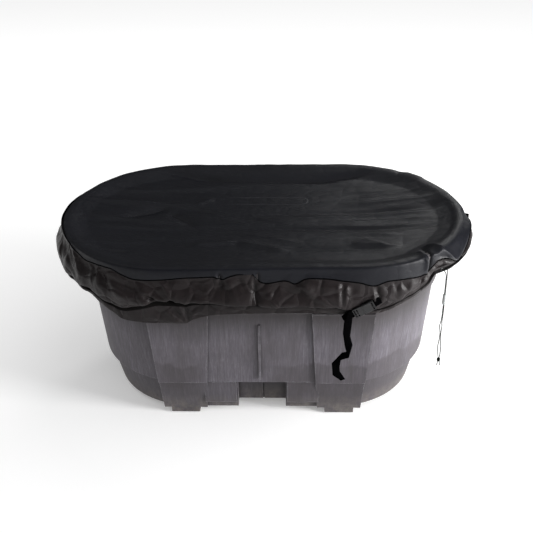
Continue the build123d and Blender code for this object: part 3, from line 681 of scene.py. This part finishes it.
def cover_skirt(seam_row):
    """The skirt from the seam down to the hem, with the hem band turned in at its foot."""
    puff, hang = through(SKIRT_PUFF, ALONG), through(OVERHANG, ALONG)
    middle = (seam_z + band_z) / 2
    tuck = 0.007 * np.clip(hang / 0.012, 0, 1)
    rows = [
        (seam_out, seam_z), (seam_out * 0.7 + puff * 0.55, seam_z * 0.75 + band_z * 0.25),
        ((seam_out + hem_out) / 2 + puff, middle), (hem_out + puff * 0.55 + hang * 0.9, band_z + 0.010),
        (hem_out + hang * 1.1, band_z - 0.001), (hem_out + hang * 0.45, band_z - 0.002 - tuck * 0.2),
        (hem_out * 0.7, band_z + 0.001 + tuck), (hem_out + 0.001, band_z - 0.005),
        (hem_out + 0.003, (band_z + hem_z) / 2), (hem_out + 0.002, hem_z + 0.002),
        (hem_out, hem_z), (hem_out - 0.0025, hem_z + 0.003), (hem_out - 0.003, hem_z + 0.018),
    ]
    profile = spline_rows([np.stack(row) for row in rows], [5, 5, 5, 4, 3, 3, 4, 4, 4, 2, 2, 3])
    count = len(profile)
    grid = np.array([rim_point(ALONG, out, z) for out, z in profile])
    points = grid.reshape(-1, 3).copy()
    faces = band_faces(count, COLUMNS, flip=True)
    along = np.tile(ALONG, count)
    flat = np.column_stack([along, points[:, 2]])
    share = np.repeat(np.arange(count) / (count - 1), COLUMNS)
    body = smoothstep(0.0, 0.10, share) * smoothstep(0.97, 0.80, share)
    straight = np.column_stack([along, points[:, 2], 0 * along])
    slanting = np.column_stack([along, points[:, 2] * 0.8 + along * 0.5, 0 * along])
    wrinkle = rough(straight, (0.040, 0.11, 1), (5, 1, 0)) * 0.0040
    wrinkle += rough(slanting, (0.030, 0.045, 1), (9, 4, 0)) * 0.0022
    wrinkle += rough(straight, (0.012, 0.016, 1), (1, 8, 0)) * 0.0006
    rim_end = smoothstep(0.36, 0.60, np.abs(along))
    wrinkle *= 0.8 + 0.8 * rim_end * (along < 0)
    folds = fold_height(flat, SKIRT_FOLDS)
    edge = through(DROOP_EDGE, along)
    over = smoothstep(-0.004, 0.006, points[:, 2] - edge)
    over = over * smoothstep(-0.004, 0.02, along) * smoothstep(0.29, 0.25, along)
    folds += 0.007 * over * smoothstep(0.0, 0.12, share)
    normals = surface_normals(points, faces)
    move = (wrinkle * body + folds * smoothstep(0.0, 0.06, share) * smoothstep(1.0, 0.9, share))
    points += normals * move[:, None]
    grid = points.reshape(count, COLUMNS, 3)
    grid[0] = seam_row
    # nothing goes into the rim or the wall behind it
    centres, outwards = rim_frame(ALONG)
    for row in grid:
        gap = ((row - centres) * outwards).sum(axis=1) - (RIM_RADIUS + RIM_CLEARANCE)
        row += outwards * np.clip(-gap, 0, None)[:, None]
    skirt = new_mesh("cover_skirt_cloth", grid.reshape(-1, 3), faces)
    paint(skirt, SKIRT_CLOTH)
    # the rows in the tuck under the overhanging fold take the darker copy: a painted shadow
    skirt.data.materials.append(PAINTED_UNDERCUT_SHADOW)
    for face in skirt.data.polygons:
        if PAINTED_SHADOW_ROWS[0] <= face.index // COLUMNS < PAINTED_SHADOW_ROWS[1]:
            face.material_index = 1
    return skirt


def subdivide(obj, levels=1):
    modifier = obj.modifiers.new("smooth", "SUBSURF")
    modifier.levels = levels
    modifier.render_levels = levels


top_cloth, seam_row = cover_top()
skirt_cloth = cover_skirt(seam_row)
paint(top_cloth, TOP_CLOTH)
for obj in (top_cloth, skirt_cloth):
    subdivide(obj)
    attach(obj, "cover")
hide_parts("cover_top_panel")
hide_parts("cover_skirt", "hem_casing", "drawcord_ring")


def binding(row):
    """Folded tape along the seam between the top and the skirt."""
    outwards = rim_frame(ALONG)[1]
    up = np.array([0, 0, 1.0])
    shape = [(-0.0005, 0.0018), (0.0006, 0.0020), (0.0012, 0.0013), (0.0014, 0.0), (0.0012, -0.0013),
             (0.0006, -0.0020), (-0.0005, -0.0018)]
    rows = [row + outwards * out + up * high for out, high in shape]
    tape = new_mesh("binding_tape", np.array(rows).reshape(-1, 3), band_faces(len(rows), COLUMNS, flip=True))
    subdivide(tape)
    return tape


tape = binding(seam_row)
paint(tape, WEBBING)
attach(tape, "cover")
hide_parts("seam_binding")


# ---------------------------------------------------------------- webbing
def ribbon(name, edges, crisp=False):
    """Flat webbing between pairs of edge points, in millimetres."""
    points = [[c / 1000 for c in point] for pair in edges for point in pair]
    faces = [(2 * k, 2 * k + 1, 2 * k + 3, 2 * k + 2) for k in range(len(edges) - 1)]
    obj = new_mesh(name, points, faces)
    subdivide(obj, 2)
    if crisp:
        obj.modifiers["smooth"].subdivision_type = "SIMPLE"
    thick = obj.modifiers.new("thickness", "SOLIDIFY")
    thick.thickness = WEBBING_THICKNESS
    thick.offset = 0
    paint(obj, WEBBING)
    return obj


# the loose end of the strap: front edge pairs from the buckle's bar down, over one twist to the folded tip
TAIL_EDGES = [
    ((268, -411, 498), (289, -409.5, 505)), ((266, -413.5, 488), (285, -412, 488)),
    ((259, -415.5, 461), (283, -414.5, 454)), ((257, -416, 420), (280, -414.5, 409)),
    ((264, -414, 375.5), (289, -416, 375.5)), ((271, -409, 345), (279, -420, 329)),
    ((258, -405, 338), (254, -421, 321)), ((227, -412, 301.5), (252, -416, 288)),
    ((231, -415, 256.5), (254, -414, 270)), ((258, -414, 234), (272, -414, 239.5)),
]
tail = ribbon("strap_tail_webbing", TAIL_EDGES, crisp=True)
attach(tail, "buckle_male")
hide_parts("strap_tail")


# the buckle's middle in millimetres, and its own directions
BUCKLE_MIDDLE = Vector((317.831, -407.3, 503))
BUCKLE_ALONG = Vector((0.870772, 0.081948, 0.48481))
BUCKLE_ACROSS = Vector((-0.482677, -0.045424, 0.87462))
BUCKLE_OUTWARDS = Vector((0.093695, -0.995601, 0))
HALF_WIDTH_MM = WEBBING_WIDTH * 1000 / 2
STRIP_STEPS = 6


def strip(low, high, out_low, out_high, lift=0.0):
    """Edge pairs of webbing along the buckle's own axis, from its middle, in millimetres."""
    pairs = []
    for k in range(STRIP_STEPS + 1):
        share = k / STRIP_STEPS
        out = out_low + (out_high - out_low) * share + lift * math.sin(math.pi * share)
        place = BUCKLE_MIDDLE + BUCKLE_ALONG * (low + (high - low) * share) + BUCKLE_OUTWARDS * out
        pairs.append((place - BUCKLE_ACROSS * HALF_WIDTH_MM, place + BUCKLE_ACROSS * HALF_WIDTH_MM))
    return pairs


anchor_left = ribbon("strap_left_webbing", strip(-72, -26.5, -4.55, -4.55))
anchor_right = ribbon("strap_right_webbing", strip(28, 58, -3.0, -5.6, 0.8))
for anchor, node_name in ((anchor_left, "strap_anchor_left"), (anchor_right, "strap_anchor_right")):
    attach(anchor, "cover")
    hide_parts(node_name)


# the pull loop, in millimetres: how far round the right end, its root, and its own size
PULL_LOOP_ANGLE = math.radians(4.0)
PULL_LOOP_ROOT = 403.2
PULL_LOOP_HEIGHT = 591
PULL_LOOP_REACH = 26.0
PULL_LOOP_HALF_GAP = 11.3
PULL_LOOP_STEPS = 10


def pull_loop():
    """Short webbing handle that stands out from the skirt at the right end."""
    outwards = Vector((math.cos(PULL_LOOP_ANGLE), math.sin(PULL_LOOP_ANGLE), 0))
    beside = Vector((-math.sin(PULL_LOOP_ANGLE), math.cos(PULL_LOOP_ANGLE), 0))
    centre = Vector((HALF_STRAIGHT * 1000, 0, PULL_LOOP_HEIGHT)) + outwards * PULL_LOOP_ROOT
    half = Vector((0, 0, HALF_WIDTH_MM))
    pairs = []
    for k in range(PULL_LOOP_STEPS + 1):
        angle = math.pi * (k / PULL_LOOP_STEPS - 0.5)
        place = centre + outwards * (PULL_LOOP_REACH * math.cos(angle))
        place += beside * (PULL_LOOP_HALF_GAP * math.sin(angle))
        pairs.append((place - half, place + half))
    return ribbon("pull_loop_webbing", pairs)


loop = pull_loop()
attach(loop, "cover")
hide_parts("end_pull_loop")

# moulded edges are never sharp: how wide each piece's edges are rounded
EDGE_WIDTHS = {
    "tank_shell": 0.004, "buckle_socket": 0.0008, "buckle_plug": 0.0006, "buckle_arm_upper": 0.0005,
    "buckle_arm_lower": 0.0005, "drain_plug": 0.0008, "drain_gasket": 0.0004, "cord_lock_body": 0.0003,
    "cord_lock_plunger": 0.0003,
}
for node_name, width in EDGE_WIDTHS.items():
    rounding = nodes[node_name].modifiers.new("rounded_edges", "BEVEL")
    rounding.width = width
    rounding.segments = 2
    rounding.limit_method = "ANGLE"
    rounding.angle_limit = math.radians(38)
    rounding.harden_normals = False


# ---------------------------------------------------------------- floor, lights and camera
FLOOR_SIZE = 30
GLOW_REACH = 4.0


def floor():
    """A pale floor that glows a little more the further it is from the tank, up to white."""
    bpy.ops.mesh.primitive_plane_add(size=FLOOR_SIZE, location=(0, 0, 0))
    obj = bpy.context.object
    obj.name = "floor"
    n = Nodes("pale_floor")
    soft = n.noise(n.coords, 0.8, 2)
    n.shader.inputs["Emission Color"].default_value = (1, 1, 1, 1)
    x, y = n.separate(n.coords)[:2]
    away = n.math("SQRT", n.math("ADD", n.math("POWER", x, 2.0), n.math("POWER", y, 2.0)))
    spread = n.ramp(n.math("DIVIDE", away, GLOW_REACH), [(0.2, (0.32,)), (0.75, (0.85,))])
    n.put(n.math("MULTIPLY", spread, 0.8), n.shader.inputs["Emission Strength"])
    paint(obj, n.set(Base_Color=n.mix(soft, (0.88, 0.88, 0.88), (0.90, 0.90, 0.90)), Roughness=0.9))


def area_light(name, place, target, size, power):
    """A rectangular soft light that faces its target."""
    data = bpy.data.lights.new(name, "AREA")
    data.shape = "RECTANGLE"
    data.size, data.size_y = size
    data.energy = power
    obj = bpy.data.objects.new(name, data)
    obj.location = place
    obj.rotation_euler = (Vector(target) - Vector(place)).to_track_quat("-Z", "Y").to_euler()
    bpy.context.scene.collection.objects.link(obj)


# the camera fitted to the photograph: it looks at the middle of the tank, half way up
ELEVATION = math.radians(32.0)
AZIMUTH = math.radians(2.15)
ROLL = math.radians(-1.09)
DISTANCE = 2.681
AIM = Vector((0, 0, 0.3175))


def camera():
    data = bpy.data.cameras.new("camera")
    data.sensor_width = 36
    data.lens = 50.0
    data.shift_x = 0.0062
    data.shift_y = 0.0433
    obj = bpy.data.objects.new("camera", data)
    level = Vector((-math.sin(AZIMUTH), math.cos(AZIMUTH), 0))
    forward = level * math.cos(ELEVATION) - Vector((0, 0, math.sin(ELEVATION)))
    right = Vector((math.cos(AZIMUTH), math.sin(AZIMUTH), 0))
    up = right.cross(forward)
    turned_right = right * math.cos(ROLL) + up * math.sin(ROLL)
    turned_up = turned_right.cross(forward)
    place = AIM - forward * DISTANCE
    obj.matrix_world = Matrix((turned_right, turned_up, -forward)).transposed().to_4x4()
    obj.location = place
    bpy.context.scene.collection.objects.link(obj)
    bpy.context.scene.camera = obj


floor()
camera()
world = bpy.data.worlds.new("world")
world.use_nodes = True
background = world.node_tree.nodes["Background"]
background.inputs["Color"].default_value = (1, 1, 1, 1)
background.inputs["Strength"].default_value = 0.14
bpy.context.scene.world = world
bpy.context.scene.view_settings.view_transform = "Standard"
area_light("overhead", (0.0, -1.2, 5.5), (0, -1.2, 0), (15, 10.5), 345)
area_light("right", (3.1, -1.2, 0.95), (0.25, 0, 0.3), (1.1, 1.1), 190)
area_light("rear_right", (1.7, 3.4, 2.5), (0.45, 0, 0.62), (1.3, 1.3), 32)
